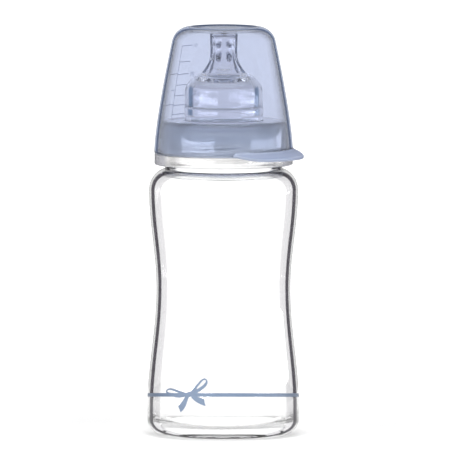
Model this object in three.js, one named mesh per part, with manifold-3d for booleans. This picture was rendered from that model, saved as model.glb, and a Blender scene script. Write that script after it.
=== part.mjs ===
// A wide-neck glass baby bottle: glass body, silicone teat, screw ring and travel hood.
// Millimetres, +Z up. The origin is the centre of the foot, on the table.
// Every piece is turned about the Z axis; the tab and the screw ribs are joined to it.

import * as THREE from 'three';
import { mergeVertices } from 'three/addons/utils/BufferGeometryUtils.js';
import { ParametricGeometry } from 'three/addons/geometries/ParametricGeometry.js';
import Module from 'manifold-3d';

const wasm = await Module();
wasm.setup();

// ---- Driving dimensions -------------------------------------------------------------

const SEGMENTS = 40; // around each turned piece
const GAP = 0.3; // clearance between pieces that rest on each other
const FULL_TURN = 2 * Math.PI;

const body = {
  foot: { inner: 26.0, outer: 27.35, hollow: 0.9, hollowEdge: 23.5 },
  heel: 6.4, // radius of the rounded corner at the foot
  low: { r: 33.75, z: 11.2 }, // widest point near the foot
  waist: { r: 29.8, z: 64.8 },
  high: { r: 33.15, z: 108.6 }, // widest point under the shoulder
  shoulder: { reach: 8.6, rise: 9.8 }, // half axes of its elliptical corner
  wall: 1.85,
  floor: { z: 3.4, dome: 0.8 }, // inside floor at its edge, and its rise to the middle
};

const neck = {
  bore: 22.3,
  root: 24.6, // wall between the screw ribs
  collar: { r: 26.0, top: 121.0 }, // plain band under the screw ribs
  rim: 135.5, // mouth
};

const thread = {
  starts: 2,
  lead: 9.0, // rise in one turn, right-handed
  crest: 26.0, // of the ribs on the neck
  ringCrest: 25.1, // of the ribs in the ring
  bottom: 124.6, // lower end of the neck's ribs, at the middle of the rib
  turn: 0.68, // length of one neck rib, in turns
  ringBottom: 125.6,
  ringTurn: 0.5,
  below: 1.75, // how far a ring rib's middle runs under a neck rib's middle
  width: 1.7, // at the root
  tip: 0.7, // at the crest
  fade: 0.06, // part of a turn in which a rib grows to its full height
};

const ring = {
  flange: { r: 30.75, bottom: 120.3, top: 125.1 },
  barrel: { r: 28.5, inner: 26.5, top: 139.9, corner: 3.0 },
  plate: 1.8,
  hole: 17.6, // opening that the teat comes through
  chamfer: 0.4,
};

const teat = {
  flange: 25.0,
  bell: { r: ring.hole - GAP, inner: 14.7, top: 150.0 },
  band: { r: 17.6, bottom: 142.4, top: 145.6 }, // raised band round the bell
  nipple: { top: 180.1, feedHole: 0.5 },
};

const hood = {
  rim: { r: 30.9, z: ring.flange.top + GAP },
  bulge: { r: 30.4, z: 140.0 }, // control point of the wall's slight outward curve
  corner: { r: 15.2, z: 173.5, radius: 8.0, draft: THREE.MathUtils.degToRad(11.5) },
  crown: 181.5, // overall height of the closed bottle
  wall: 1.0,
};

const tab = {
  middle: THREE.MathUtils.degToRad(52.5), // from the front (-Y) towards +X
  halfSpan: THREE.MathUtils.degToRad(45),
  reach: 7.7, // past the rim, at the middle
  fullness: 0.7, // below 1 makes the outline squarer
  thickness: 1.3,
  droop: 1.8, // of its edge below the rim
  droopFrom: 31.1,
  droopTo: 37.0,
  root: 30.2, // radius inside the hood's wall where it starts
};

// ---- Helpers ------------------------------------------------------------------------

// A closed mesh as a solid: shared vertices merged, faces without area left out.
function solidFrom(geometry) {
  geometry.deleteAttribute('normal');
  geometry.deleteAttribute('uv');
  const merged = mergeVertices(geometry, 1e-4);
  const index = merged.index.array;
  const faces = [];
  for (let i = 0; i < index.length; i += 3) {
    const [a, b, c] = [index[i], index[i + 1], index[i + 2]];
    if (a !== b && b !== c && c !== a) {
      faces.push(a, b, c);
    }
  }
  return new wasm.Manifold(new wasm.Mesh({
    numProp: 3,
    vertProperties: new Float32Array(merged.attributes.position.array),
    triVerts: new Uint32Array(faces),
  }));
}

function geometryFrom(solid) {
  const mesh = solid.getMesh();
  const geometry = new THREE.BufferGeometry();
  geometry.setAttribute('position', new THREE.BufferAttribute(mesh.vertProperties, 3));
  geometry.setIndex(new THREE.BufferAttribute(mesh.triVerts, 1));
  geometry.computeVertexNormals();
  return geometry;
}

// Turns an outline of [radius, height] points about Z. It runs up the outside first.
function turned(outline) {
  const points = outline.map(([r, z]) => new THREE.Vector2(r, z));
  const geometry = new THREE.LatheGeometry(points, SEGMENTS);
  geometry.rotateX(Math.PI / 2);
  return solidFrom(geometry);
}

function closed(outline) {
  return [...outline, outline[0]];
}

// Points on an elliptical arc from one angle to another, both ends included.
function arc(r, z, halfR, halfZ, from, to, steps) {
  const points = [];
  for (let i = 0; i <= steps; i += 1) {
    const angle = THREE.MathUtils.degToRad(from + ((to - from) * i) / steps);
    points.push([r + halfR * Math.cos(angle), z + halfZ * Math.sin(angle)]);
  }
  return points;
}

function smooth(t) {
  return (1 - Math.cos(Math.PI * THREE.MathUtils.clamp(t, 0, 1))) / 2;
}

function polar(r, angle, z, target) {
  return target.set(r * Math.cos(angle), r * Math.sin(angle), z);
}

// ---- Glass body ---------------------------------------------------------------------

// Outside radius between the foot's and the shoulder's widest points.
function bodyRadius(z) {
  const { low, waist, high } = body;
  if (z < waist.z) {
    return low.r + (waist.r - low.r) * smooth((z - low.z) / (waist.z - low.z));
  }
  return waist.r + (high.r - waist.r) * smooth((z - waist.z) / (high.z - waist.z));
}

function bodySide(inset, steps) {
  const points = [];
  for (let i = 0; i <= steps; i += 1) {
    const z = body.low.z + ((body.high.z - body.low.z) * i) / steps;
    points.push([bodyRadius(z) - inset, z]);
  }
  return points;
}

function bottleOutside() {
  const { foot, heel, high, shoulder } = body;
  const shoulderR = high.r - shoulder.reach;
  const end = Math.acos((neck.collar.r - shoulderR) / shoulder.reach);
  return [
    [0, foot.hollow],
    [foot.hollowEdge, foot.hollow * 0.6],
    [foot.inner, 0],
    ...arc(foot.outer, heel, heel, heel, -90, 0, 5),
    ...bodySide(0, 10),
    ...arc(shoulderR, high.z, shoulder.reach, shoulder.rise,
      10, THREE.MathUtils.radToDeg(end), 5),
    [neck.collar.r, neck.collar.top],
    [neck.root, neck.collar.top + 1],
    [neck.root, neck.rim - 0.6],
    [neck.root - 0.6, neck.rim],
  ];
}

function bottleInside() {
  const { foot, heel, high, low, shoulder, wall, floor } = body;
  const fillet = 1.5; // rounded edge between the shoulder and the bore
  const innerHeel = heel - wall;
  const shoulderTop = high.z + shoulder.rise - wall;
  const shoulderReach = high.r - wall - neck.bore - fillet;
  return [
    [neck.bore + 0.6, neck.rim],
    [neck.bore, neck.rim - 0.6],
    ...arc(neck.bore + fillet, shoulderTop + fillet, fillet, fillet, 180, 270, 2),
    ...arc(neck.bore + fillet, high.z, shoulderReach, shoulderTop - high.z, 78, 12, 4),
    ...bodySide(wall, 10).reverse(),
    ...arc(low.r - wall - innerHeel, floor.z + innerHeel, innerHeel, innerHeel, 0, -90, 4),
    [foot.outer / 2, floor.z + floor.dome * 0.75],
    [0, floor.z + floor.dome],
  ];
}

// One screw rib, a trapezoid swept along a helix. Its ends sink into the wall.
function rib(wallR, crestR, startAngle, startZ, turns) {
  const buried = wallR - Math.sign(crestR - wallR) * 0.5;
  const corners = [
    [buried, -thread.width / 2],
    [crestR, -thread.tip / 2],
    [crestR, thread.tip / 2],
    [buried, thread.width / 2],
  ];
  const inward = crestR < wallR;
  const shape = (u, v, target) => {
    const corner = corners[Math.round((inward ? 1 - v : v) * 4) % 4];
    const height = Math.min(1, (u * turns) / thread.fade, ((1 - u) * turns) / thread.fade);
    const angle = startAngle + u * turns * FULL_TURN;
    const r = buried + (corner[0] - buried) * height;
    polar(r, angle, startZ + u * turns * thread.lead + corner[1] * height, target);
  };
  const slices = Math.round(turns * 36);
  return solidFrom(new ParametricGeometry(shape, slices, 4));
}

function ribs(wallR, crestR, bottom, turns, drop) {
  const shift = ((bottom + drop - thread.bottom) / thread.lead) * FULL_TURN;
  const all = [];
  for (let i = 0; i < thread.starts; i += 1) {
    const angle = (i * FULL_TURN) / thread.starts + shift;
    all.push(rib(wallR, crestR, angle, bottom, turns));
  }
  return all;
}

function glassBottle() {
  const screw = ribs(neck.root, thread.crest, thread.bottom, thread.turn, 0);
  const glass = turned([...bottleOutside(), ...bottleInside()]);
  return screw.reduce((solid, one) => solid.add(one), glass);
}

// ---- Teat ---------------------------------------------------------------------------

function teatShape() {
  const { bell, band, nipple } = teat;
  const flangeBottom = neck.rim + GAP;
  const flangeTop = ring.barrel.top - ring.plate - GAP;
  return turned(closed([
    [teat.flange - 0.4, flangeBottom],
    [teat.flange, flangeBottom + 0.4],
    [teat.flange, flangeTop - 0.4],
    [teat.flange - 0.4, flangeTop],
    [bell.r, flangeTop],
    [bell.r, band.bottom - 0.3],
    [band.r, band.bottom],
    [band.r, band.top],
    [bell.r, band.top + 0.3],
    [bell.r, bell.top],
    [17.0, 154.3],
    [16.1, 156.4],
    [14.4, 158.5],
    [12.2, 159.9],
    [9.9, 161.0],
    [8.2, 163.1],
    [6.65, 165.8],
    [6.1, 168.5],
    [5.95, 171.5],
    [6.1, 175.6],
    ...arc(5.15, nipple.top - 1, 1, 1, 0, 90, 3),
    [nipple.feedHole, nipple.top],
    [nipple.feedHole, nipple.top - 1.1],
    [3.8, nipple.top - 1.2],
    [4.7, nipple.top - 2.1],
    [4.45, 174.5],
    [4.5, 169.6],
    [4.9, 166.2],
    [6.2, 162.6],
    [8.8, 159.9],
    [9.3, 157.6],
    [12.4, 156.9],
    [bell.inner, 154.4],
    [bell.inner, flangeBottom],
  ]));
}

// ---- Screw ring ---------------------------------------------------------------------

function ringShape() {
  const { flange, barrel, plate, hole, chamfer } = ring;
  const under = barrel.top - plate;
  const cornerR = barrel.r - barrel.corner;
  const plain = turned(closed([
    [flange.r - chamfer, flange.bottom],
    [flange.r, flange.bottom + chamfer],
    [flange.r, flange.top - chamfer],
    [flange.r - chamfer, flange.top],
    [barrel.r, flange.top],
    ...arc(cornerR, barrel.top - barrel.corner, barrel.corner, barrel.corner, 0, 90, 4),
    [hole + chamfer, barrel.top],
    [hole, barrel.top - chamfer],
    [hole, under + chamfer],
    [hole + chamfer, under],
    [barrel.inner, under],
    [barrel.inner, flange.bottom + chamfer],
    [barrel.inner + chamfer, flange.bottom],
  ]));
  const screw = ribs(barrel.inner, thread.ringCrest, thread.ringBottom,
    thread.ringTurn, thread.below);
  return screw.reduce((solid, one) => solid.add(one), plain);
}

// ---- Hood ---------------------------------------------------------------------------

// The wall's slightly bulging side, from the rim to the crown's corner, at an inset.
function hoodSide(inset, steps) {
  const { rim, bulge, corner } = hood;
  const radius = corner.radius - inset;
  const side = new THREE.QuadraticBezierCurve(
    new THREE.Vector2(rim.r - inset, rim.z),
    new THREE.Vector2(bulge.r - inset, bulge.z),
    new THREE.Vector2(
      corner.r + radius * Math.cos(corner.draft),
      corner.z + radius * Math.sin(corner.draft),
    ),
  );
  return side.getPoints(steps).map((p) => [p.x, p.y]);
}

function hoodSurface(inset) {
  const { corner, crown } = hood;
  const radius = corner.radius - inset;
  const draft = THREE.MathUtils.radToDeg(corner.draft);
  return [
    ...hoodSide(inset, 6),
    ...arc(corner.r, corner.z, radius, radius, draft + 15, 90, 5),
    [0, crown - inset],
  ];
}

// Underside of the tab: level at the rim, then drooping to a level edge.
function tabUnderside(r) {
  const t = (r - tab.droopFrom) / (tab.droopTo - tab.droopFrom);
  return hood.rim.z - tab.droop * smooth(t);
}

// The tab's section runs out along its underside, round its edge and back along its top.
function tabSection(edgeR) {
  const half = tab.thickness / 2;
  const steps = 6;
  const points = [];
  for (let i = 0; i <= steps; i += 1) {
    const r = tab.root + ((edgeR - half - tab.root) * i) / steps;
    points.push([r, tabUnderside(r)]);
  }
  const top = [...points].reverse().map(([r, z]) => [r, z + tab.thickness]);
  const edgeZ = tabUnderside(edgeR - half) + half;
  const edge = arc(edgeR - half, edgeZ, half, half, -60, 60, 3);
  return [...points, ...edge, ...top];
}

function tabShape() {
  const front = -Math.PI / 2;
  const slices = 26;
  const count = tabSection(hood.rim.r).length;
  const shape = (u, v, target) => {
    const across = THREE.MathUtils.clamp(u * (slices + 2) - 1, 0, slices) / slices;
    const bump = Math.max(0, Math.sin(Math.PI * across)) ** tab.fullness;
    const section = tabSection(hood.rim.r + tab.reach * bump);
    const isEnd = u === 0 || u === 1;
    const [r, z] = section[isEnd ? 0 : Math.round(v * count) % count];
    const angle = front + tab.middle + tab.halfSpan * (2 * across - 1);
    polar(r, angle, z, target);
  };
  return solidFrom(new ParametricGeometry(shape, slices + 2, count));
}

function hoodShape() {
  const cup = turned([...hoodSurface(0), ...hoodSurface(hood.wall).reverse(),
    [hood.rim.r, hood.rim.z]]);
  return cup.add(tabShape());
}

// ---- Assembly -----------------------------------------------------------------------

function piece(name, solid, look) {
  const mesh = new THREE.Mesh(geometryFrom(solid), new THREE.MeshStandardMaterial(look));
  mesh.name = name;
  return mesh;
}

const clearGlass = { color: 0xf1f3f6, roughness: 0.03, metalness: 0, transparent: true, opacity: 0.3 };
const clearSilicone = { color: 0xe9ecf3, roughness: 0.25, metalness: 0, transparent: true, opacity: 0.5 };
const clearPlastic = { color: 0xeceef2, roughness: 0.12, metalness: 0, transparent: true, opacity: 0.5 };
const bluePlastic = { color: 0x9fb0de, roughness: 0.1, metalness: 0, transparent: true, opacity: 0.5 };

const bottle = new THREE.Group();
bottle.name = 'baby_bottle';
bottle.add(piece('glass_bottle', glassBottle(), clearGlass));
bottle.add(piece('teat', teatShape(), clearSilicone));
bottle.add(piece('screw_ring', ringShape(), clearPlastic));
bottle.add(piece('hood', hoodShape(), bluePlastic));

export default bottle;
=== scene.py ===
"""The baby bottle's fine meshes, see-through materials, print and studio.

Outlines are in millimetres, as [radius, height] points that run up the outside and
down the inside. MM turns them into Blender's metres when a mesh is made.
"""

import math

import bmesh
import bpy
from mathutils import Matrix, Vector


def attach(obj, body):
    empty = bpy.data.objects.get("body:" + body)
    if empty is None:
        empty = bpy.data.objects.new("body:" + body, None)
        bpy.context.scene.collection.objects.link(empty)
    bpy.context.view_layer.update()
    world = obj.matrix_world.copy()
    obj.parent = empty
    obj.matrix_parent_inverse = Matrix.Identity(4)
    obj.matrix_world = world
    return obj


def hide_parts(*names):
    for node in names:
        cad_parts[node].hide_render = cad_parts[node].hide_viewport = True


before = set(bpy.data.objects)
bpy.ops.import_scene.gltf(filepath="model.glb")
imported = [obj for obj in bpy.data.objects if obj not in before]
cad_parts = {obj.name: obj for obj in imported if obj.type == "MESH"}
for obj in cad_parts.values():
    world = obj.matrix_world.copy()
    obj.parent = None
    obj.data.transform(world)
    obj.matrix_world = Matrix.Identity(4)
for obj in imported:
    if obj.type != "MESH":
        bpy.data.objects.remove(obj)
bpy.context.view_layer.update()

MM = 0.001
FRONT = math.radians(-90)  # the side that faces the camera, -Y
FULL_TURN = 2 * math.pi

# ---- Dimensions, the CAD part's unless a comment says otherwise ----------------------

SEGMENTS = 240  # columns round a turned piece, for this script only

FOOT_RING = 27.35  # radius of the ring that the bottle stands on
FOOT_HOLLOW = 0.9
HEEL = 6.4
INNER_HEEL = 7.4  # rounder than the CAD's, as it looks in the photo
LOW_R, LOW_Z = 33.75, 11.2
WAIST_R, WAIST_Z = 29.8, 64.8
HIGH_R, HIGH_Z = 33.15, 108.6
SHOULDER_REACH, SHOULDER_RISE = 8.6, 9.8
GLASS_WALL = 1.85
FLOOR_Z, FLOOR_DOME = 3.4, 0.8

NECK_BORE = 22.3
NECK_ROOT = 24.6
COLLAR_R, COLLAR_TOP = 26.0, 121.0
RIM_Z = 135.5

THREAD_STARTS = 2
THREAD_LEAD = 9.0
THREAD_BOTTOM, THREAD_TURNS = 124.6, 0.68
RING_THREAD_BOTTOM, RING_THREAD_TURNS = 125.6, 0.5
RING_THREAD_BELOW = 1.75
THREAD_HEIGHT = 1.4
THREAD_WIDTH, THREAD_TIP = 1.7, 0.7
THREAD_FADE = 0.06

FLANGE_R, FLANGE_BOTTOM, FLANGE_TOP = 30.75, 120.3, 125.1
BARREL_R, BARREL_INNER, BARREL_TOP = 28.5, 26.5, 139.9
BARREL_CORNER = 3.0
PLATE = 1.8
RING_HOLE = 17.6

GAP = 0.3
TEAT_FLANGE = 25.0
BELL_R, BELL_INNER = RING_HOLE - GAP, 14.7
NIPPLE_TOP = 180.1

HOOD_RIM_R, HOOD_RIM_Z = 30.9, FLANGE_TOP + GAP
HOOD_BULGE_R, HOOD_BULGE_Z = 30.4, 140.0
HOOD_CORNER_R, HOOD_CORNER_Z, HOOD_CORNER = 15.2, 173.5, 8.0
HOOD_DRAFT = math.radians(11.5)
HOOD_WALL = 1.0
CROWN_Z = 181.5

TAB_MIDDLE = math.radians(52.5)
TAB_HALF_SPAN = math.radians(45)
TAB_REACH = 7.7
TAB_DROOP, TAB_DROOP_FROM, TAB_DROOP_TO = 1.8, 31.1, 37.0
TAB_EDGE = 0.65  # half of its thickness


# ---- Outline helpers -----------------------------------------------------------------

def smooth(t):
    """0 to 1 with level ends."""
    return (1 - math.cos(math.pi * min(1, max(0, t)))) / 2


def arc(r, z, half_r, half_z, start, end, steps):
    """Points on an elliptical arc, angles in degrees."""
    points = []
    for i in range(steps + 1):
        angle = math.radians(start + (end - start) * i / steps)
        points.append((r + half_r * math.cos(angle), z + half_z * math.sin(angle)))
    return points


def line(start, end, steps):
    """Evenly spaced points from start to just before end."""
    return [
        tuple(a + (b - a) * i / steps for a, b in zip(start, end)) for i in range(steps)
    ]


def softened(points, radius, steps=4):
    """The same open outline with each inner corner rounded off."""
    result = [points[0]]
    for before, corner, after in zip(points, points[1:], points[2:]):
        a, b, c = Vector(before), Vector(corner), Vector(after)
        start = b + (a - b).normalized() * min(radius, (a - b).length / 2.2)
        end = b + (c - b).normalized() * min(radius, (c - b).length / 2.2)
        for i in range(steps + 1):
            t = i / steps
            point = start * (1 - t) ** 2 + b * 2 * t * (1 - t) + end * t**2
            result.append(tuple(point))
    result.append(points[-1])
    return result


def span(four, steps):
    """Points from the second of four to just before the third (Catmull-Rom)."""
    a, b, c, d = (Vector(point) for point in four)
    bend = 2 * a - 5 * b + 4 * c - d
    twist = 3 * b - a - 3 * c + d
    points = []
    for i in range(steps):
        t = i / steps
        points.append(tuple((2 * b + (c - a) * t + bend * t**2 + twist * t**3) / 2))
    return points


def spline(points, steps):
    """A smooth open curve through every point."""
    ends = [points[0], *points, points[-1]]
    result = []
    for four in zip(ends, ends[1:], ends[2:], ends[3:]):
        result += span(four, steps)
    return [*result, points[-1]]


def loop_curve(points, steps=6):
    """A smooth closed curve through every point."""
    count = len(points)
    result = []
    for i in range(count):
        result += span([points[(i + k - 1) % count] for k in range(4)], steps)
    return result


# ---- Mesh helpers --------------------------------------------------------------------

OUTSIDE, INSIDE = 0, 1  # a turned piece's materials


def mesh_from(build, name):
    """Ends a bmesh and gives its mesh."""
    mesh = bpy.data.meshes.new(name)
    build.to_mesh(mesh)
    build.free()
    return mesh


def add_object(name, mesh):
    """Puts a mesh in the scene with smooth faces."""
    piece = bpy.data.objects.new(name, mesh)
    bpy.context.scene.collection.objects.link(piece)
    mesh.shade_smooth()
    return piece


def turned(name, outside, inside, closed=False, shape=None, segments=SEGMENTS):
    """Turns an outline about Z, with one material outside and another inside.

    shape(r, z, angle, is_outside) may move a point. A closed outline joins its ends;
    an open one starts and ends on the axis.
    """
    outline = [(r, z, True) for r, z in outside] + [(r, z, False) for r, z in inside]
    build = bmesh.new()
    columns = []
    for r, z, is_outside in outline:
        if r < 1e-6:
            columns.append([build.verts.new((0, 0, z * MM))])
            continue
        ring = []
        for i in range(segments):
            angle = FULL_TURN * i / segments
            at_r, at_z = shape(r, z, angle, is_outside) if shape else (r, z)
            place = (at_r * math.cos(angle) * MM, at_r * math.sin(angle) * MM, at_z * MM)
            ring.append(build.verts.new(place))
        columns.append(ring)
    pairs = list(zip(range(len(outline)), range(1, len(outline))))
    if closed:
        pairs.append((len(outline) - 1, 0))
    for low, high in pairs:
        bridge(build, columns[low], columns[high], OUTSIDE if outline[low][2] else INSIDE)
    return add_object(name, mesh_from(build, name))


def paint(piece, material, wanted):
    """Gives another material to the faces whose middle, r, z and angle, passes a test."""
    for face in piece.data.polygons:
        x, y, z = face.center / MM
        if wanted(math.hypot(x, y), z, math.atan2(y, x)):
            face.material_index = material


def bridge(build, low, high, material):
    """Faces between two rings of points, either of which may be one point on the axis."""
    count = max(len(low), len(high))
    for i in range(count):
        j = (i + 1) % count
        if len(low) == 1:
            corners = (low[0], high[j], high[i])
        elif len(high) == 1:
            corners = (low[i], low[j], high[0])
        else:
            corners = (low[i], low[j], high[j], high[i])
        build.faces.new(corners).material_index = material


# ---- Screw thread --------------------------------------------------------------------

def thread_height(angle, z, bottom, turns, drop):
    """Height of the screw ribs at a point of a wall: 0 between them, 1 on a crest."""
    shift = (bottom + drop - THREAD_BOTTOM) / THREAD_LEAD
    best = 0.0
    for start in range(THREAD_STARTS):
        along = (angle / FULL_TURN - start / THREAD_STARTS - shift) % 1.0
        if along > turns:
            continue
        off = abs(z - bottom - along * THREAD_LEAD)
        flank = (THREAD_WIDTH / 2 - off) / ((THREAD_WIDTH - THREAD_TIP) / 2)
        fade = min(1, along / THREAD_FADE, (turns - along) / THREAD_FADE)
        best = max(best, smooth(flank) * smooth(fade))
    return best


# ---- Glass body ----------------------------------------------------------------------

def body_radius(z):
    """Outside radius of the glass between its two widest points."""
    if z < WAIST_Z:
        return LOW_R + (WAIST_R - LOW_R) * smooth((z - LOW_Z) / (WAIST_Z - LOW_Z))
    return WAIST_R + (HIGH_R - WAIST_R) * smooth((z - WAIST_Z) / (HIGH_Z - WAIST_Z))


def body_side(inset, steps=60):
    """The waisted wall, from its low widest point to its high one."""
    heights = [LOW_Z + (HIGH_Z - LOW_Z) * i / steps for i in range(steps + 1)]
    return [(body_radius(z) - inset, z) for z in heights]


def bottle_outside():
    shoulder_r = HIGH_R - SHOULDER_REACH
    end = math.degrees(math.acos((COLLAR_R - shoulder_r) / SHOULDER_REACH))
    shoulder = arc(shoulder_r, HIGH_Z, SHOULDER_REACH, SHOULDER_RISE, 4, end, 22)
    foot = softened(
        [(0, FOOT_HOLLOW), (20.5, FOOT_HOLLOW * 0.8), (25.6, 0.1), (FOOT_RING, 0)], 2.5, 8
    )
    neck = softened(
        [
            shoulder[-1],
            (COLLAR_R, COLLAR_TOP),
            (NECK_ROOT, COLLAR_TOP + 1),
            (NECK_ROOT, COLLAR_TOP + 2),
        ],
        0.5,
    )
    thread = line((NECK_ROOT, COLLAR_TOP + 2.2), (NECK_ROOT, 132.4), 64)
    rim = softened([(NECK_ROOT, 132.4), (NECK_ROOT, RIM_Z), (23.4, RIM_Z)], 0.8, 6)
    heel = arc(FOOT_RING, HEEL, HEEL, HEEL, -88, 0, 22)
    return foot + heel + body_side(0) + shoulder + neck[1:] + thread + rim


def bottle_inside():
    fillet = 1.5
    heel = INNER_HEEL
    top = HIGH_Z + SHOULDER_RISE - GLASS_WALL
    reach = HIGH_R - GLASS_WALL - NECK_BORE - fillet
    rim = softened([(23.3, RIM_Z), (NECK_BORE, RIM_Z), (NECK_BORE, 132.0)], 0.8, 6)
    bore = line((NECK_BORE, 131.0), (NECK_BORE, top + fillet), 8)
    corner = arc(NECK_BORE + fillet, top + fillet, fillet, fillet, 180, 270, 8)
    shoulder = arc(NECK_BORE + fillet, HIGH_Z, reach, top - HIGH_Z, 86, 4, 20)
    floor_r = LOW_R - GLASS_WALL - heel
    floor_corner = arc(floor_r, FLOOR_Z + heel, heel, heel, 0, -90, 18)
    floor = [
        (floor_r * t, FLOOR_Z + FLOOR_DOME * (1 - t * t)) for t in (0.85, 0.6, 0.3, 0)
    ]
    return rim + bore + corner + shoulder + body_side(GLASS_WALL)[::-1] + floor_corner + floor


def bottle_thread(r, z, angle, is_outside):
    """Raises the screw ribs on the neck."""
    if is_outside and z > COLLAR_TOP + 1:
        height = thread_height(angle, z, THREAD_BOTTOM, THREAD_TURNS, 0)
        return r + THREAD_HEIGHT * height, z
    return r, z


def make_glass():
    glass = turned("bottle_glass", bottle_outside(), bottle_inside(), shape=bottle_thread)
    glass.visible_shadow = False  # it is clear, so the floor under it stays lit
    return glass


# ---- Teat ----------------------------------------------------------------------------

DIMPLE_ROWS = [  # height, half height, half width round the nipple
    (173.6, 1.2, 1.3),
    (168.2, 2.05, 1.4),
]
DIMPLES_PER_ROW = 8
DIMPLE_DEPTH = 0.3
DIMPLE_SIDE = 0.35  # share of a dimple's radius over which it sinks
DIMPLED_FROM = 164.0
NIPPLE_BOTTOM = 161.0
NIPPLE_WALL_MIDDLE = 4.8  # radius between the nipple's outside and inside
BELL_BAND = (142.7, 145.4)  # bottom and top of the raised band, which keeps the bell's painted dark stripe
BELL_BAND_EDGE = 1.0  # height of the clear strip above the band
NIPPLE_LOOK, DIMPLE_LOOK = 2, 3  # the teat's further materials
TEAT_BOTTOM = RIM_Z + GAP
TEAT_FLANGE_TOP = BARREL_TOP - PLATE - GAP


def teat_outside():
    flange = softened(
        [
            (TEAT_FLANGE - 3, TEAT_BOTTOM),
            (TEAT_FLANGE, TEAT_BOTTOM),
            (TEAT_FLANGE, TEAT_FLANGE_TOP),
            (BELL_R, TEAT_FLANGE_TOP),
            (BELL_R, 142.1),
            (17.6, 142.4),
            (17.6, 145.6),
            (BELL_R, 145.9),
            (BELL_R, 148.5),
        ],
        0.5,
    )
    shoulder = spline(
        [(BELL_R, 149.5), (BELL_R, 151.8), (17.0, 154.3), (16.1, 156.4), (14.4, 158.5)]
        + [(12.2, 159.9), (9.9, 161.0), (8.2, 163.1)],
        6,
    )
    nipple = spline(
        [(8.2, 163.1), (6.65, 165.8), (6.1, 168.5), (5.95, 171.5), (6.1, 175.6), (6.15, 178.0)], 12
    )
    tip = arc(5.15, NIPPLE_TOP - 1, 1, 1, 0, 90, 8)
    return flange + shoulder[:-1] + nipple + tip + [(0.5, NIPPLE_TOP)]


def teat_inside():
    tip = softened([(0.5, NIPPLE_TOP - 1.1), (4.1, NIPPLE_TOP - 1.2), (4.7, 176.6)], 0.7)
    channel = spline([(4.6, 176.0), (4.45, 173.5), (4.5, 169.6), (4.9, 166.2), (6.1, 162.7)], 6)
    steps = softened(
        [(6.6, 161.2), (8.9, 159.9), (9.3, 157.6), (12.5, 156.8), (BELL_INNER, 154.2)]
        + [(BELL_INNER, 146.2), (14.3, 145.7), (14.3, 142.5), (BELL_INNER, 142.0)]
        + [(BELL_INNER, TEAT_BOTTOM), (TEAT_FLANGE - 3, TEAT_BOTTOM)],
        0.45,
    )
    return tip + channel + steps[:-1]


def off_dimple(r, z, angle):
    """How far a point of the nipple is from the nearest dimple: 0 its middle, 1 its edge."""
    step = FULL_TURN / DIMPLES_PER_ROW
    off = (angle - FRONT) % step - step / 2
    return min(
        math.hypot(off * r / half_r, (z - row_z) / half_z) for row_z, half_z, half_r in DIMPLE_ROWS
    )


def teat_dimples(r, z, angle, is_outside):
    """Sinks the round dimples into the nipple's outside."""
    if not is_outside or z < DIMPLED_FROM:
        return r, z
    return r - DIMPLE_DEPTH * smooth((1 - off_dimple(r, z, angle)) / DIMPLE_SIDE), z


def make_teat():
    piece = turned("teat_silicone", teat_outside(), teat_inside(), closed=True, shape=teat_dimples)
    bottom, top = BELL_BAND

    def on_nipple(r, z, angle):
        return z > NIPPLE_BOTTOM and r > NIPPLE_WALL_MIDDLE

    def in_dimple(r, z, angle):
        return r > NIPPLE_WALL_MIDDLE and off_dimple(r, z, angle) < 0.95

    def beside_band(r, z, angle):
        return z < bottom or top < z < top + BELL_BAND_EDGE

    # The nipple gets its painted dark outlines; the faces beside the band take the inside
    # material, with fainter painted shade.
    paint(piece, NIPPLE_LOOK, on_nipple)
    paint(piece, DIMPLE_LOOK, in_dimple)
    paint(piece, INSIDE, beside_band)
    return piece


# ---- Screw ring ----------------------------------------------------------------------

RING_THREAD_TOP = 134.0
BARREL_LOOK = 2  # the ring's further material


def ring_outside():
    flange = softened(
        [
            (BARREL_INNER + 1.5, FLANGE_BOTTOM),
            (FLANGE_R, FLANGE_BOTTOM),
            (FLANGE_R, FLANGE_TOP),
            (BARREL_R, FLANGE_TOP),
            (BARREL_R, FLANGE_TOP + 3),
        ],
        0.4,
    )
    corner = arc(BARREL_R - BARREL_CORNER, BARREL_TOP - BARREL_CORNER,
                 BARREL_CORNER, BARREL_CORNER, 0, 90, 12)
    hole = softened(
        [(RING_HOLE + 2, BARREL_TOP), (RING_HOLE, BARREL_TOP), (RING_HOLE, BARREL_TOP - 0.9)],
        0.4,
    )
    return flange + corner + hole


def ring_inside():
    under = BARREL_TOP - PLATE
    plate = softened(
        [
            (RING_HOLE, under + 0.8),
            (RING_HOLE, under),
            (BARREL_INNER, under),
            (BARREL_INNER, 133.0),
        ],
        0.4,
    )
    thread = line((BARREL_INNER, 132.6), (BARREL_INNER, 123.4), 60)
    mouth = softened(
        [
            (BARREL_INNER, 123.2),
            (BARREL_INNER, FLANGE_BOTTOM),
            (BARREL_INNER + 1.4, FLANGE_BOTTOM),
        ],
        0.4,
    )
    return plate + thread + mouth


def ring_thread(r, z, angle, is_outside):
    """Raises the screw ribs inside the ring."""
    if not is_outside and z < RING_THREAD_TOP:
        height = thread_height(
            angle, z, RING_THREAD_BOTTOM, RING_THREAD_TURNS, RING_THREAD_BELOW
        )
        return r - THREAD_HEIGHT * height, z
    return r, z


def make_ring():
    piece = turned("ring_clear", ring_outside(), ring_inside(), closed=True, shape=ring_thread)
    paint(piece, BARREL_LOOK, lambda r, z, angle: z > FLANGE_TOP + 0.1)
    return piece


# ---- Hood ----------------------------------------------------------------------------

HOOD_SEGMENTS = 360  # more than the other pieces have, for the tab's outline
UNDER_STEPS, EDGE_STEPS, TOP_STEPS, LOW_WALL_STEPS = 12, 8, 14, 8
LOW_WALL_TOP = 131.0  # above it the wall is the same all round

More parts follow.
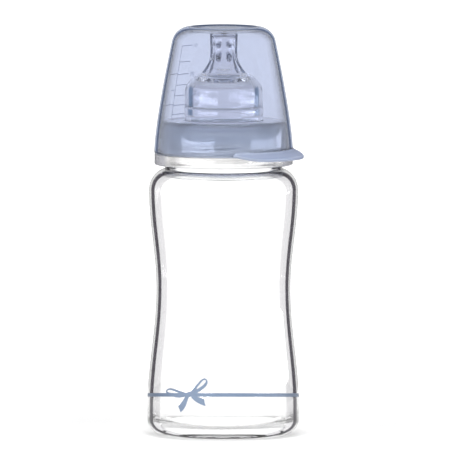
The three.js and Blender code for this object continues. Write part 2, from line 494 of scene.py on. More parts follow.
RIM_EDGE = 0.3  # half of the rim's thickness
RIM_UNDERSIDE = 0.45  # how far inside the rim's radius the outline starts
TAB_GROWTH = 1.5  # reach at which the tab has its full thickness
TAB_FILLET, TAB_FILLET_FADE = 1.3, 0.55
TAB_LOOK, DISH_LOOK = 2, 3  # the hood's further materials

# The crown's shallow dish, which the CAD doesn't have.
DISH_R, DISH_DEPTH, DISH_SLOPE = 14.6, 0.45, 0.5


def hood_side_end(inset):
    """Radius and height at which the wall meets the crown's rounded corner."""
    radius = HOOD_CORNER - inset
    return (
        HOOD_CORNER_R + radius * math.cos(HOOD_DRAFT),
        HOOD_CORNER_Z + radius * math.sin(HOOD_DRAFT),
    )


def hood_radius(z, inset=0.0):
    """Radius of the hood's wall at a height, on the quadratic curve of its side."""
    top_r, top_z = hood_side_end(inset)
    if z > top_z:
        drop = z - HOOD_CORNER_Z
        return HOOD_CORNER_R + math.sqrt(max(0, (HOOD_CORNER - inset) ** 2 - drop**2))
    a = HOOD_RIM_Z - 2 * HOOD_BULGE_Z + top_z
    b = 2 * (HOOD_BULGE_Z - HOOD_RIM_Z)
    c = HOOD_RIM_Z - z
    t = (-b + math.sqrt(b * b - 4 * a * c)) / (2 * a)
    rim, bulge = HOOD_RIM_R - inset, HOOD_BULGE_R - inset
    return rim * (1 - t) ** 2 + 2 * bulge * t * (1 - t) + top_r * t * t


def hood_crown(inset):
    corner = arc(HOOD_CORNER_R, HOOD_CORNER_Z, HOOD_CORNER - inset, HOOD_CORNER - inset,
                 math.degrees(HOOD_DRAFT) + 3, 90, 20)
    if inset:
        return corner + [(r, CROWN_Z - inset) for r in (12, 8, 4, 0)]
    floor_z = CROWN_Z - DISH_DEPTH
    return corner + [(DISH_R, CROWN_Z)] + [(r, floor_z) for r in (DISH_R - DISH_SLOPE, 8, 4, 0)]


def tab_underside(r):
    t = (r - TAB_DROOP_FROM) / (TAB_DROOP_TO - TAB_DROOP_FROM)
    return HOOD_RIM_Z - TAB_DROOP * smooth(t)


def tab_reach(angle):
    """How far the tab stands out past the rim at an angle round the hood."""
    off = (angle - FRONT - TAB_MIDDLE + math.pi) % FULL_TURN - math.pi
    if abs(off) >= TAB_HALF_SPAN:
        return 0.0
    return TAB_REACH * math.cos(off / TAB_HALF_SPAN * math.pi / 2) ** 0.7


def hood_low(angle):
    """The outside of the hood's lowest part at one angle: rim, tab if any, and wall."""
    reach = tab_reach(angle)
    share = min(1, reach / TAB_GROWTH)
    edge = RIM_EDGE + (TAB_EDGE - RIM_EDGE) * share
    edge_r = HOOD_RIM_R + reach - edge
    start_r = HOOD_RIM_R - RIM_UNDERSIDE
    under = [start_r + (edge_r - start_r) * i / UNDER_STEPS for i in range(UNDER_STEPS)]
    points = [(r, tab_underside(r)) for r in under]
    points += arc(edge_r, tab_underside(edge_r) + edge, edge, edge, -90, 90, EDGE_STEPS)
    low = HOOD_RIM_Z + 2 * edge
    fillet = TAB_FILLET * share
    wall_r = hood_radius(low + fillet)
    for i in range(1, TOP_STEPS + 1):
        t = 1 - (1 - i / TOP_STEPS) ** 1.6
        r = edge_r + (wall_r - edge_r) * t
        rise = fillet * math.exp(-(r - wall_r) / TAB_FILLET_FADE)
        points.append((r, tab_underside(r) + 2 * edge + rise))
    wall_z = points[-1][1]
    for i in range(1, LOW_WALL_STEPS + 1):
        z = wall_z + (LOW_WALL_TOP - wall_z) * i / LOW_WALL_STEPS
        points.append((hood_radius(z), z))
    return points


def hood_wall(inset, low, steps=36):
    top = hood_side_end(inset)[1]
    heights = [low + (top - low) * i / steps for i in range(1, steps + 1)]
    return [(hood_radius(z, inset), z) for z in heights]


def make_hood():
    """The cup with its tab. Its lowest points differ from one angle to the next."""
    low = hood_low(FRONT)
    outside = low + hood_wall(0, LOW_WALL_TOP) + hood_crown(0)
    inner_low = HOOD_RIM_Z + 0.6
    inside = hood_crown(HOOD_WALL)[::-1][1:] + hood_wall(HOOD_WALL, inner_low)[::-1]
    inside += softened(
        [
            (hood_radius(inner_low, HOOD_WALL), inner_low),
            (HOOD_RIM_R - HOOD_WALL, HOOD_RIM_Z),
            (HOOD_RIM_R - 0.5, HOOD_RIM_Z),
        ],
        0.3,
    )
    index = {point: i for i, point in enumerate(low)}
    by_angle = {}

    def shape(r, z, angle, is_outside):
        if not is_outside or (r, z) not in index:
            return r, z
        if angle not in by_angle:
            by_angle[angle] = hood_low(angle)
        return by_angle[angle][index[(r, z)]]

    def on_dish_edge(r, z, angle):
        return DISH_R - DISH_SLOPE < r < DISH_R and z > CROWN_Z - DISH_DEPTH

    piece = turned(
        "hood_shell", outside, inside, closed=True, shape=shape, segments=HOOD_SEGMENTS
    )
    paint(piece, TAB_LOOK, lambda r, z, angle: r > HOOD_RIM_R + 0.2)
    # The dish's sloping edge gets a painted dark shade line.
    paint(piece, DISH_LOOK, on_dish_edge)
    return piece


# ---- Thin marks laid on a curved wall ------------------------------------------------

MARK_FOOT = 0.02  # how far a mark's underside stands off the wall
CRISP_ANGLE = math.radians(40)
BEND_STEP = 0.5  # width of the strips that a flat mark is cut into


def add_mark(name, build):
    """Puts a thin mark in the scene, with crisp edges."""
    bmesh.ops.recalc_face_normals(build, faces=build.faces)
    piece = add_object(name, mesh_from(build, name))
    piece.data.set_sharp_from_angle(angle=CRISP_ANGLE)
    return piece


def sweep(build, sections):
    """Faces of a bar that runs through a row of four-sided sections."""
    for a, b in zip(sections, sections[1:]):
        for k in range(4):
            build.faces.new((a[k], b[k], b[(k + 1) % 4], a[(k + 1) % 4]))
    build.faces.new(sections[0])
    build.faces.new(sections[-1][::-1])


def wrapped(name, flat_mesh, place, proud):
    """Lays a flat mesh on a wall and gives it a thickness.

    place(x, z, height) gives the point in millimetres that a flat point goes to.
    """
    build = bmesh.new()
    build.from_mesh(flat_mesh)
    spread = [v.co.x for v in build.verts]
    cut = min(spread)
    while cut < max(spread):
        whole = build.verts[:] + build.edges[:] + build.faces[:]
        bmesh.ops.bisect_plane(build, geom=whole, plane_co=(cut, 0, 0), plane_no=(1, 0, 0))
        cut += BEND_STEP
    front = {v: Vector(place(v.co.x, v.co.y, proud)) * MM for v in build.verts}
    back = {v: Vector(place(v.co.x, v.co.y, MARK_FOOT)) * MM for v in build.verts}
    shell = bmesh.new()
    tops = {v: shell.verts.new(front[v]) for v in build.verts}
    bases = {v: shell.verts.new(back[v]) for v in build.verts}
    for face in build.faces:
        shell.faces.new([tops[v] for v in face.verts])
        shell.faces.new([bases[v] for v in reversed(face.verts)])
    for edge in build.edges:
        if len(edge.link_faces) == 1:
            loop = edge.link_loops[0]
            a, b = loop.vert, loop.link_loop_next.vert
            shell.faces.new([tops[b], tops[a], bases[a], bases[b]])
    build.free()
    return add_mark(name, shell)


def filled_outline(splines):
    """A flat mesh filled inside closed outlines; an outline inside another is a hole."""
    curve = bpy.data.curves.new("outline", "CURVE")
    curve.dimensions = "2D"
    curve.fill_mode = "BOTH"
    for points in splines:
        drawn = curve.splines.new("POLY")
        drawn.points.add(len(points) - 1)
        for target, (x, z) in zip(drawn.points, points):
            target.co = (x, z, 0, 1)
        drawn.use_cyclic_u = True
    return flat_mesh_of(curve)


def flat_mesh_of(curve):
    """The flat mesh of a filled curve or a text."""
    holder = bpy.data.objects.new("flat", curve)
    bpy.context.scene.collection.objects.link(holder)
    bpy.context.view_layer.update()
    evaluated = holder.evaluated_get(bpy.context.evaluated_depsgraph_get())
    mesh = bpy.data.meshes.new_from_object(evaluated)
    bpy.data.objects.remove(holder)
    return mesh


# ---- Ribbon print on the glass -------------------------------------------------------

PRINT_Z = 17.0  # height of the line at the sides
PRINT_RISE = 0.0993  # the line climbs this much for each unit that it comes forward
PRINT_PROUD = 0.08
PRINT_LAYER = 0.02  # each part of the bow lies this much over the one before
LINE_HEIGHT = 1.62
LINE_END = math.radians(96)  # from the front, each way
LINE_STEPS = 120
KNOT_X = -15.4  # the knot's place on the line, from the middle


def on_glass(x, z, height):
    """Point on the glass for a place on the print as seen from the front."""
    r = body_radius(z) + height
    angle = math.asin(max(-1, min(1, x / r)))
    return r * math.sin(angle), -r * math.cos(angle), z + r * math.cos(angle) * PRINT_RISE


def make_line():
    """The level line, as a strip swept round the front half of the glass."""
    build = bmesh.new()
    sections = []
    corners = ((-1, MARK_FOOT), (-1, PRINT_PROUD), (1, PRINT_PROUD), (1, MARK_FOOT))
    for i in range(LINE_STEPS + 1):
        angle = LINE_END * (2 * i / LINE_STEPS - 1)
        section = []
        for half, height in corners:
            z = PRINT_Z + half * LINE_HEIGHT / 2
            r = body_radius(z) + height
            z += r * math.cos(angle) * PRINT_RISE
            place = (r * math.sin(angle) * MM, -r * math.cos(angle) * MM, z * MM)
            section.append(build.verts.new(place))
        sections.append(section)
    sweep(build, sections)
    return add_mark("ribbon_line", build)


# Outlines of the bow, in millimetres from its knot.
LEFT_LOOP = [(0.6, 1.3), (-1.2, 0.95), (-3.4, 1.62), (-5.9, 2.5), (-7.8, 2.95), (-9.0, 2.75),
             (-9.8, 2.1), (-9.95, 1.3), (-9.5, 0.4), (-8.0, -0.45), (-6.2, -0.95),
             (-4.3, -1.2), (-2.6, -1.0), (-1.0, -0.7), (0.8, -0.8)]
LEFT_HOLE = [(-9.4, 1.7), (-9.0, 2.12), (-8.0, 2.2), (-6.35, 1.65), (-4.4, 0.85),
             (-4.7, 0.6), (-6.4, 0.7), (-8.3, 0.95), (-9.1, 1.25)]
RIGHT_LOOP = [(0.2, 1.2), (1.0, 1.6), (2.5, 3.2), (4.0, 4.95), (5.5, 6.55), (6.95, 7.4),
              (7.9, 7.0), (8.45, 6.0), (8.3, 4.8), (7.4, 3.5), (5.8, 2.1), (4.3, 1.1),
              (3.3, 0.4), (2.4, -0.6), (0.6, -0.7)]
RIGHT_HOLE = [(3.55, 2.65), (4.4, 4.0), (5.6, 5.5), (6.8, 6.55), (7.45, 6.6), (7.65, 6.0),
              (6.95, 4.9), (5.6, 3.75), (4.2, 2.85)]
LEFT_TAIL = [(-1.5, -0.6), (-1.7, -1.2), (-2.9, -3.1), (-4.6, -5.15)]
LEFT_TAIL_END = [(-4.0, -6.4), (-3.5, -7.75)]
LEFT_TAIL_BACK = [(-3.5, -7.75), (-2.2, -6.5), (-1.1, -4.6), (-0.45, -2.6), (0.1, -1.2),
                  (0.9, -0.4)]
RIGHT_TAIL = [(0.6, -0.4), (2.2, -2.2), (4.0, -3.5), (6.0, -4.45), (7.6, -4.95)]
RIGHT_TAIL_END = [(7.15, -3.4), (6.95, -1.85)]
RIGHT_TAIL_BACK = [(6.95, -1.85), (5.5, -1.35), (4.1, -0.85), (2.6, 0.3)]


def make_bow():
    """The bow's loops and tails, as thin prints one on another."""
    left_tail = spline(LEFT_TAIL, 6) + LEFT_TAIL_END[:1] + spline(LEFT_TAIL_BACK, 6)
    right_tail = spline(RIGHT_TAIL, 6) + RIGHT_TAIL_END[:1] + spline(RIGHT_TAIL_BACK, 6)
    shapes = {
        "bow_left_loop": [loop_curve(LEFT_LOOP), loop_curve(LEFT_HOLE)],
        "bow_right_loop": [loop_curve(RIGHT_LOOP), loop_curve(RIGHT_HOLE)],
        "bow_left_tail": [left_tail],
        "bow_right_tail": [right_tail],
    }
    pieces = []
    for level, (name, splines) in enumerate(shapes.items(), start=1):
        flat = filled_outline(splines)
        proud = PRINT_PROUD + PRINT_LAYER * level

        def place(x, z, height):
            return on_glass(KNOT_X + x, PRINT_Z + z, height)

        pieces.append(wrapped(name, flat, place, proud))
    return pieces


# ---- Measuring scale on the hood -----------------------------------------------------

SCALE_ANGLE = math.radians(144.6)  # the upright line, on the back left
TICK_SWEEP = math.radians(16.5)
SCALE_PROUD = 0.1
MARK_WIDTH = 0.3
MARK_BEVEL = 0.12  # share of a mark's width that each sloping side takes
NUMBERED = (10, 30, 50, 70)
NUMBER_SIZE = 2.6
NUMBER_GAP = math.radians(1.2)
# The height of each millilitre tick, as the photo shows it. It is read with the hood
# standing on its crown.
TICKS = {10: 172.0, 20: 164.7, 30: 159.1, 40: 154.2, 50: 149.5, 60: 145.1, 70: 141.0}
OUNCE_TICKS = ((159.6, 9.0), (152.2, 3.6), (145.7, 9.0))  # height, length; 1, 1.5 and 2 fl oz
SCALE_BOTTOM = 138.0
SCALE_WALL_R = 26  # a middling radius of the wall, which the marks' angles go by


def wall_bar(build, start, end, low, high):
    """A raised bar on the hood's wall between two angles and two heights."""
    steps = max(2, int(abs(end - start) / math.radians(1.5)), int((high - low) / 2))
    upright = high - low > 1
    corners = ((0, MARK_FOOT), (MARK_BEVEL, SCALE_PROUD), (1 - MARK_BEVEL, SCALE_PROUD),
               (1, MARK_FOOT))
    sections = []
    for i in range(steps + 1):
        t = i / steps
        section = []
        for side, proud in corners:
            along, across = (t, side) if upright else (side, t)
            z = low + (high - low) * along
            angle = start + (end - start) * across
            r = (hood_radius(z) + proud) * MM
            section.append(build.verts.new((r * math.cos(angle), r * math.sin(angle), z * MM)))
        sections.append(section)
    sweep(build, sections)


def make_scale():
    """The upright line, with millilitre ticks on one side and ounce ticks on the other."""
    build = bmesh.new()
    half = MARK_WIDTH / 2
    half_angle = half / SCALE_WALL_R
    right, left = SCALE_ANGLE - half_angle, SCALE_ANGLE + half_angle
    wall_bar(build, right, left, SCALE_BOTTOM, max(TICKS.values()) + half)
    for z in TICKS.values():
        wall_bar(build, right, SCALE_ANGLE - TICK_SWEEP, z - half, z + half)
    for z, length in OUNCE_TICKS:
        wall_bar(build, left, SCALE_ANGLE + length / hood_radius(z), z - half, z + half)
    return add_mark("hood_scale", build)


def make_number(value):
    """A number beside its tick. It reads upright when the hood stands on its crown."""
    text = bpy.data.curves.new(f"number_{value}", "FONT")
    text.body = str(value)
    text.size = NUMBER_SIZE
    text.align_x = "LEFT"
    text.align_y = "CENTER"
    flat = flat_mesh_of(text)
    centre = TICKS[value]
    start = SCALE_ANGLE - TICK_SWEEP - NUMBER_GAP

    def place(x, z, height):
        at_z = centre - z
        r = hood_radius(at_z) + height
        angle = start - x / r
        return r * math.cos(angle), r * math.sin(angle), at_z

    return wrapped(f"hood_number_{value}", flat, place, SCALE_PROUD)


# ---- Materials -----------------------------------------------------------------------

RIPPLE_SCALE = 60
RIPPLE_DEPTH = 0.02 * MM
SILICONE_IOR, SILICONE_ROUGHNESS = 1.41, 0.02
HAZE_IOR, HAZE_ROUGHNESS = 1.3, 0.3  # moulded marks and the ring's barrel


def new_material(name):
    material = bpy.data.materials.new(name)
    material.use_nodes = True
    return material, material.node_tree


def fill_ramp(ramp, stops):
    """Gives a colour ramp its stops, (position, RGBA), which run from 0 to 1."""
    elements = ramp.color_ramp.elements
    elements[0].color = stops[0][1]
    elements[-1].color = stops[-1][1]
    for position, colour in stops[1:-1]:
        elements.new(position).color = colour


def noise(tree, scale):
    """A noise texture that stays with its object."""
    texture = tree.nodes.new("ShaderNodeTexNoise")
    texture.inputs["Scale"].default_value = scale
    place = tree.nodes.new("ShaderNodeTexCoord")
    tree.links.new(place.outputs["Object"], texture.inputs["Vector"])
    return texture


def ripple(tree):
    """A faint unevenness of a moulded surface."""
    texture = noise(tree, RIPPLE_SCALE)
    texture.inputs["Detail"].default_value = 2
    bump = tree.nodes.new("ShaderNodeBump")
    bump.inputs["Strength"].default_value = 0.4
    bump.inputs["Distance"].default_value = RIPPLE_DEPTH
    tree.links.new(texture.outputs["Fac"], bump.inputs["Height"])
    return bump.outputs["Normal"]


def feed(tree, socket, given):
    """Links a socket to another, or gives it a constant."""
    if isinstance(given, bpy.types.NodeSocket):
        tree.links.new(given, socket)
    else:
        socket.default_value = given


def operate(tree, operation, a, b=0):
    """The result of a maths node, whose inputs are each a socket or a number."""
    node = tree.nodes.new("ShaderNodeMath")
    node.operation = operation
    feed(tree, node.inputs[0], a)
    feed(tree, node.inputs[1], b)
    return node.outputs["Value"]


def turned_away(tree):
    """0 where a surface is seen face on, and 1 where it is seen edge on."""
    weight = tree.nodes.new("ShaderNodeLayerWeight")
    weight.inputs["Blend"].default_value = 0.5
    return weight.outputs["Facing"]


def upright_share(tree):
    """Size of the normal's upright part: 0 on walls, 1 on level surfaces."""
    side = tree.nodes.new("ShaderNodeNewGeometry")
    split = tree.nodes.new("ShaderNodeSeparateXYZ")
    tree.links.new(side.outputs["Normal"], split.inputs["Vector"])
    return operate(tree, "ABSOLUTE", split.outputs["Z"])


def steepness(tree, round_only):
    """0 where the outside is seen face on, 1 edge on, and 0 from within the solid.

    With round_only it is measured round the wall, and a sloping shoulder counts as a wall.
    """
    side = tree.nodes.new("ShaderNodeNewGeometry")
    front_on = operate(tree, "SUBTRACT", 1, turned_away(tree))
    if round_only:
        upright = upright_share(tree)
        level_part = operate(tree, "SUBTRACT", 1, operate(tree, "MULTIPLY", upright, upright))
        round_part = operate(tree, "MAXIMUM", operate(tree, "SQRT", level_part), 0.1)
        front_on = operate(tree, "MINIMUM", operate(tree, "DIVIDE", front_on, round_part), 1)
    outer = operate(tree, "SUBTRACT", 1, side.outputs["Backfacing"])
    return operate(tree, "MULTIPLY", operate(tree, "SUBTRACT", 1, front_on), outer)


def levelness(tree, start, end):
    """0 on walls and 1 on surfaces that lie level, with a blend between."""
    spread = tree.nodes.new("ShaderNodeMapRange")
    spread.inputs["From Min"].default_value = start
    spread.inputs["From Max"].default_value = end
    tree.links.new(upright_share(tree), spread.inputs["Value"])
    return spread.outputs["Result"]


def mixed(tree, kind, share, a, b, blend="MIX"):
    """A mix of two values or colours. Its share and both sides are sockets or constants."""
    mix = tree.nodes.new("ShaderNodeMix")
    mix.data_type = kind
    mix.blend_type = blend
    sockets = [s for s in mix.inputs if s.enabled and s.name in ("A", "B")]
    feed(tree, mix.inputs[0], share)
    for socket, given in zip(sockets, (a, b)):
        feed(tree, socket, given)
    return next(s for s in mix.outputs if s.enabled)


def clear_material(name, stops, level, ior=1.5, roughness=0.0,
                   level_range=(0.97, 0.995), round_only=False):
    """A see-through solid, whose tint and clearness go by how steeply it is seen.

    Each stop is (steepness, colour, clearness), with steepness 0 face on and 1 edge on.
    Darker stops are painted shade: the dark lines and grey bands that a clear wall shows
    near its outline. level is the (colour, clearness) of the surfaces that lie level, a
    painted shade where it is darker, and level_range says how level a surface has to be
    for that to set in and to be complete.
    """
    material, tree = new_material(name)
    shader = tree.nodes["Principled BSDF"]
    shader.inputs["IOR"].default_value = ior
    shader.inputs["Roughness"].default_value = roughness
    # The ramp paints shade: its darker stops give the dark lines and bands near an outline.
    ramp = tree.nodes.new("ShaderNodeValToRGB")
    fill_ramp(ramp, [(at, (*colour, clearness)) for at, colour, clearness in stops])
    tree.links.new(steepness(tree, round_only), ramp.inputs["Fac"])
    share = levelness(tree, *level_range)
    level_colour, level_clearness = level
    colour = mixed(tree, "RGBA", share, ramp.outputs["Color"], (*level_colour, 1))
    clearness = mixed(tree, "FLOAT", share, ramp.outputs["Alpha"], level_clearness)
    tree.links.new(colour, shader.inputs["Base Color"])
    tree.links.new(clearness, shader.inputs["Transmission Weight"])
    tree.links.new(operate(tree, "MULTIPLY", clearness, 0.5), shader.inputs["Specular IOR Level"])
    tree.links.new(ripple(tree), shader.inputs["Normal"])
    return material


def grey(value):
    return (value, value, value)


def scaled(colour, factor):
    """The same colour, darker."""
    return tuple(c * factor for c in colour)


def even(name, colour, clearness, ior, roughness):
    """A clear material that looks the same from every side."""
    look = (colour, clearness)
    return clear_material(name, [(0, *look), (1, *look)], look, ior, roughness)


def glass_materials():
    # line, band and the greys edge on are painted shade: the dark line and grey band near the
    # glass's outline.
    line = (0.02, 0.017, 0.025)
    band = (0.50, 0.49, 0.51)
    clear = (grey(1), 1)
    outer = clear_material(
        "clear_glass",
        [(0.0, *clear), (0.43, *clear), (0.47, band, 1), (0.61, scaled(band, 0.9), 1),
         (0.635, line, 0.3), (0.75, line, 0.3), (0.775, grey(0.5), 0.9), (1.0, grey(0.62), 0.9)],
        level=clear,
    )
    return outer, even("clear_glass_inside", *clear, 1.5, 0)


def silicone_materials():
    # The navy and stripe colours and the darker greys are painted shade: the dark outlines near
    # the bell's and nipple's edges, and on level faces.
    painted_navy = (0.03, 0.05, 0.10)
    painted_stripe = (0.07, 0.14, 0.24)
    clear = ((0.90, 0.90, 0.92), 1)
    bell = clear_material(
        "clear_silicone",
        [(0.0, *clear), (0.36, *clear), (0.41, painted_stripe, 0.8), (0.55, painted_stripe, 0.8),
         (0.60, grey(0.7), 1), (1.0, grey(0.6), 1)],
        level=(grey(0.8), 1), ior=SILICONE_IOR, roughness=SILICONE_ROUGHNESS,
        level_range=(0.3, 0.5), round_only=True,
    )
    inner = clear_material(
        "clear_silicone_inside", [(0, *clear), (0.6, *clear), (1, grey(0.6), 1)],
        clear, SILICONE_IOR, SILICONE_ROUGHNESS,
    )
    nipple = clear_material(
        "clear_silicone_nipple",
        [(0.0, *clear), (0.40, *clear), (0.50, painted_navy, 0.5), (0.80, painted_navy, 0.4),
         (1.0, (0.12, 0.16, 0.24), 0.5)],
        level=(grey(0.8), 1), ior=SILICONE_IOR, roughness=SILICONE_ROUGHNESS,
        level_range=(0.7, 0.85), round_only=True,
    )
    return bell, inner, nipple, dimple_material()


def dimple_material():
    """The nipple's dimples, with painted glints and shade: a noise of dark and light specks."""
    material, tree = new_material("clear_silicone_dimple")
    shader = tree.nodes["Principled BSDF"]
    shader.inputs["Transmission Weight"].default_value = 0.75
    shader.inputs["IOR"].default_value = SILICONE_IOR
    shader.inputs["Roughness"].default_value = SILICONE_ROUGHNESS
    # The dark and light specks are painted glints and shade.
    ramp = tree.nodes.new("ShaderNodeValToRGB")
    dark = (0.03, 0.04, 0.08, 1)
    light = (0.8, 0.82, 0.86, 1)
    fill_ramp(ramp, [(0, dark), (0.47, dark), (0.56, light), (1, light)])
    tree.links.new(noise(tree, 1500).outputs["Fac"], ramp.inputs["Fac"])
    tree.links.new(ramp.outputs["Color"], shader.inputs["Base Color"])
    return material


def ring_materials():
    """The frosted flange, the clear inside, and the hazy barrel under a polish; both darken edge
    on as painted shade.
    """
    clear = (grey(1), 1)
    frost = (0.97, 0.965, 0.96)
    # The darker stops edge on paint shade at the flange's ends.
    outer = clear_material(
        "clear_ring_plastic",
        [(0.0, frost, 0.75), (0.40, frost, 0.75), (0.50, (0.40, 0.40, 0.45), 0.7),
         (1.0, (0.35, 0.35, 0.40), 0.7)],
        level=clear, roughness=0.25,
    )
    inner = even("clear_ring_inside", *clear, 1.5, 0.03)
    haze = (0.87, 0.93, 1.0)
    # The barrel's haze darkens edge on: painted shade.
    barrel = clear_material(
        "clear_ring_barrel",
        [(0.0, haze, 0.7), (0.6, haze, 0.6), (1.0, scaled(haze, 0.6), 0.5)],
        level=((0.85, 0.9, 1.0), 1), ior=HAZE_IOR, roughness=HAZE_ROUGHNESS,
        level_range=(0.8, 0.95),
    )
    polish = barrel.node_tree.nodes["Principled BSDF"]
    polish.inputs["Coat Weight"].default_value = 1
    polish.inputs["Coat Roughness"].default_value = 0
    return outer, inner, barrel


def hood_materials():
    # The tint is the hood's own blue; the darker stops, the navy line, the darker level colour and
    # the darker edges of the inside and tab are painted shade.
    tint = (0.69, 0.725, 0.83)
    painted_navy = (0.03, 0.055, 0.13)
    outer = clear_material(
        "blue_hood_plastic",
        [(0.0, tint, 1), (0.40, tint, 1), (0.51, scaled(tint, 0.68), 1),
         (0.62, scaled(tint, 0.40), 1), (0.68, scaled(tint, 0.33), 0.9), (0.70, painted_navy, 0.3),
         (0.78, painted_navy, 0.3), (0.82, (0.25, 0.31, 0.48), 0.8), (1.0, (0.36, 0.42, 0.58), 0.5)],
        level=((0.44, 0.52, 0.74), 0.6),
    )
    inner = clear_material(
        "blue_hood_inside",
        [(0.0, tint, 1), (0.6, tint, 1), (0.72, scaled(tint, 0.5), 1), (1.0, painted_navy, 1)],
        level=(tint, 1),
    )
    tab = clear_material(
        "blue_hood_tab", [(0.0, (0.60, 0.67, 0.85), 0.3), (1.0, (0.30, 0.36, 0.54), 0.2)],
        ((0.55, 0.62, 0.82), 0.3), 1.5, 0.2,
    )
    # The dish edge's navy is a painted shade line on the crown.
    edge = clear_material(
        "blue_hood_edge", [(0.0, (0.16, 0.22, 0.38), 0.5), (1.0, painted_navy, 0.5)], (painted_navy, 0.5)
    )
    return outer, inner, tab, edge


def mark_materials():
    """The raised scale, and its fainter numbers."""
    bar = even("hood_marks", (0.42, 0.46, 0.58), 0.8, HAZE_IOR, HAZE_ROUGHNESS)
    number = even("hood_numbers", (0.82, 0.85, 0.92), 0.9, HAZE_IOR, HAZE_ROUGHNESS)
    return bar, number


def print_material():
    """Fired enamel: a dusty blue with a faint grain, and painted shade that darkens it towards the
    sides.
    """
    material, tree = new_material("ribbon_enamel")
    shader = tree.nodes["Principled BSDF"]
    shader.inputs["Roughness"].default_value = 0.35
    grain = noise(tree, 900).outputs["Fac"]
    blue = mixed(tree, "RGBA", grain, (0.235, 0.315, 0.46, 1), (0.26, 0.345, 0.49, 1))
    # shade is painted shade: the enamel darkens as it turns away.
    shade = tree.nodes.new("ShaderNodeValToRGB")
    fill_ramp(shade, [(0.0, (1, 1, 1, 1)), (0.28, (0.82, 0.82, 0.84, 1)),
                      (0.57, (0.47, 0.48, 0.5, 1)), (1.0, (0.4, 0.41, 0.44, 1))])
    tree.links.new(turned_away(tree), shade.inputs["Fac"])
    shaded = mixed(tree, "RGBA", 1, blue, shade.outputs["Color"], "MULTIPLY")
    tree.links.new(shaded, shader.inputs["Base Color"])
    return material


# ---- Studio, in metres ---------------------------------------------------------------

VIEW_DISTANCE = 6.0
VIEW_ELEVATION = math.radians(4.95)
VIEW_TARGET = Vector((0.00066, 0, 0.0930))
VIEW_WIDTH = 0.20025  # width of the picture at the bottle
VIEW_ROLL = math.radians(0.1)
FLOOR_RADIUS = 0.25  # its edge melts into the equally white tent
TENT_BRIGHTNESS = 1.25
MIRRORED_BRIGHTNESS = 0.35  # what the tent adds to surfaces that throw its light back
STUDIO_SIDES = 96
FLOOR_SUNK = 0.1 * MM  # how far the floor lies under the foot
# Radius and height, in millimetres, of the two edges of the ring that shades the foot.
FOOT_SHADE_EDGES = ((28.0, 0.05), (33.0, 7.0))
LIGHT_DISTANCE = 1.2
BOX_SIZE = 0.9
BOX_OUT = 0.7  # how far out the boxes stand for each unit that they stand up
STRIP_HEIGHT, STRIP_MIDDLE, STRIP_POWER = 0.065, 0.0375, 2.8


def make_camera():
    data = bpy.data.cameras.new("camera")
    camera = bpy.data.objects.new("camera", data)
    bpy.context.scene.collection.objects.link(camera)
    back = Vector((0, -math.cos(VIEW_ELEVATION), math.sin(VIEW_ELEVATION)))
    camera.location = VIEW_TARGET + back * VIEW_DISTANCE
    camera.rotation_euler = (-back).to_track_quat("-Z", "Y").to_euler()
    camera.rotation_euler.rotate_axis("Z", VIEW_ROLL)
    data.sensor_width = 36
    data.lens = data.sensor_width * VIEW_DISTANCE / VIEW_WIDTH
    data.clip_start = 0.1
    data.clip_end = 20
    bpy.context.scene.camera = camera


def make_world():
    """A round light tent: white at the horizon and overhead, greyer between.

    It is dimmer in what surfaces throw back, so the glass keeps its thin dark edges.
    """
    world = bpy.data.worlds.new("studio")
    bpy.context.scene.world = world
    world.use_nodes = True
    tree = world.node_tree
    place = tree.nodes.new("ShaderNodeTexCoord")
    split = tree.nodes.new("ShaderNodeSeparateXYZ")
    tree.links.new(place.outputs["Generated"], split.inputs["Vector"])
    ramp = tree.nodes.new("ShaderNodeValToRGB")
    height = tree.nodes.new("ShaderNodeMapRange")
    height.inputs["From Min"].default_value = -1
    height.inputs["From Max"].default_value = 1
    tree.links.new(split.outputs["Z"], height.inputs["Value"])
    tree.links.new(height.outputs["Result"], ramp.inputs["Fac"])
    stops = [(0.0, 1.0), (0.60, 1.0), (0.68, 0.8), (0.85, 0.8), (0.93, 1.0), (1.0, 1.0)]
    fill_ramp(ramp, [(at, (*grey(value), 1)) for at, value in stops])
    background = tree.nodes["Background"]
    tree.links.new(ramp.outputs["Color"], background.inputs["Color"])
    ray = tree.nodes.new("ShaderNodeLightPath")
    strength = tree.nodes.new("ShaderNodeMapRange")
    strength.inputs["To Min"].default_value = TENT_BRIGHTNESS
    strength.inputs["To Max"].default_value = MIRRORED_BRIGHTNESS
    tree.links.new(ray.outputs["Is Reflection Ray"], strength.inputs["Value"])
    tree.links.new(strength.outputs["Result"], background.inputs["Strength"])


def make_floor():
    build = bmesh.new()
    bmesh.ops.create_circle(build, cap_ends=True, segments=STUDIO_SIDES, radius=FLOOR_RADIUS)
    floor = add_object("floor", mesh_from(build, "floor"))
    floor.location.z = -FLOOR_SUNK
    material, tree = new_material("floor_white")
    shader = tree.nodes["Principled BSDF"]
    shader.inputs["Base Color"].default_value = (0.8, 0.8, 0.8, 1)
    shader.inputs["Roughness"].default_value = 0.9
    shader.inputs["Specular IOR Level"].default_value = 0
    shader.inputs["Emission Color"].default_value = (1, 1, 1, 1)
    shader.inputs["Emission Strength"].default_value = 0.13
    floor.data.materials.append(material)


def make_foot_shade():
    """Throws the soft shadow at the foot, since the clear glass itself throws none."""
    build = bmesh.new()
    angles = [FULL_TURN * i / STUDIO_SIDES for i in range(STUDIO_SIDES)]
    rings = []
    for r, z in FOOT_SHADE_EDGES:
        places = [(r * MM * math.cos(a), r * MM * math.sin(a), z * MM) for a in angles]
        rings.append([build.verts.new(place) for place in places])
    bridge(build, *rings, OUTSIDE)
    shade = add_object("foot_shade", mesh_from(build, "foot_shade"))
    shade.visible_camera = False
    shade.visible_diffuse = False
    shade.visible_glossy = False
    shade.visible_transmission = False


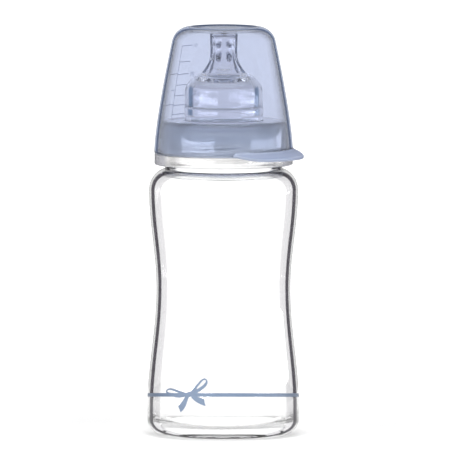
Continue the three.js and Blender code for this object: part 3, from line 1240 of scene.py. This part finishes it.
def add_light(name, shape, width, height, energy):
    data = bpy.data.lights.new(name, "AREA")
    data.shape = shape
    data.size = width
    data.size_y = height
    data.energy = energy
    light = bpy.data.objects.new(name, data)
    bpy.context.scene.collection.objects.link(light)
    light.visible_camera = False
    return light


def place_light(light, azimuth, out, up, lift=0):
    """Puts a light round the bottle at degrees from the front, and turns it inwards."""
    turn = FRONT + math.radians(azimuth)
    away = Vector((math.cos(turn) * out, math.sin(turn) * out, up))
    light.location = away * LIGHT_DISTANCE + Vector((0, 0, lift))
    light.rotation_euler = (-away).to_track_quat("-Z", "Y").to_euler()


def make_lights():
    """Three soft lights above, and two strips level with the table.

    The strips are low and thin, so the ring's upright barrel mirrors them and the hood's
    wall hardly does.
    """
    for name, azimuth, power in (("left_box", -60, 9), ("right_box", 50, 9), ("top_box", 180, 7)):
        light = add_light(name, "DISK", BOX_SIZE, BOX_SIZE, power)
        place_light(light, azimuth, BOX_OUT, 1)
        light.visible_glossy = False
        light.visible_transmission = False
    for name, azimuth, width in (("left_strip", -48, 1.44), ("right_strip", 86, 1.75)):
        light = add_light(name, "RECTANGLE", width, STRIP_HEIGHT, STRIP_POWER)
        place_light(light, azimuth, 1, 0, STRIP_MIDDLE)


def render_look():
    scene = bpy.context.scene
    scene.view_settings.view_transform = "Standard"
    scene.cycles.max_bounces = 40
    scene.cycles.transmission_bounces = 40
    scene.cycles.glossy_bounces = 12


# ---- Assembly ------------------------------------------------------------------------

def fit(piece, materials, body, node=None):
    """Gives a piece its materials and its body, and hides the CAD part that it stands for."""
    for material in materials:
        piece.data.materials.append(material)
    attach(piece, body)
    if node:
        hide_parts(node)


make_camera()
render_look()
fit(make_glass(), glass_materials(), "glass_bottle", "glass_bottle")
fit(make_teat(), silicone_materials(), "teat", "teat")
fit(make_ring(), ring_materials(), "screw_ring", "screw_ring")
fit(make_hood(), hood_materials(), "hood", "hood")
bar_material, number_material = mark_materials()
fit(make_scale(), [bar_material], "hood")
for value in NUMBERED:
    fit(make_number(value), [number_material], "hood")
enamel = print_material()
for printed in [make_line(), *make_bow()]:
    fit(printed, [enamel], "glass_bottle")
make_world()
make_floor()
make_foot_shade()
make_lights()
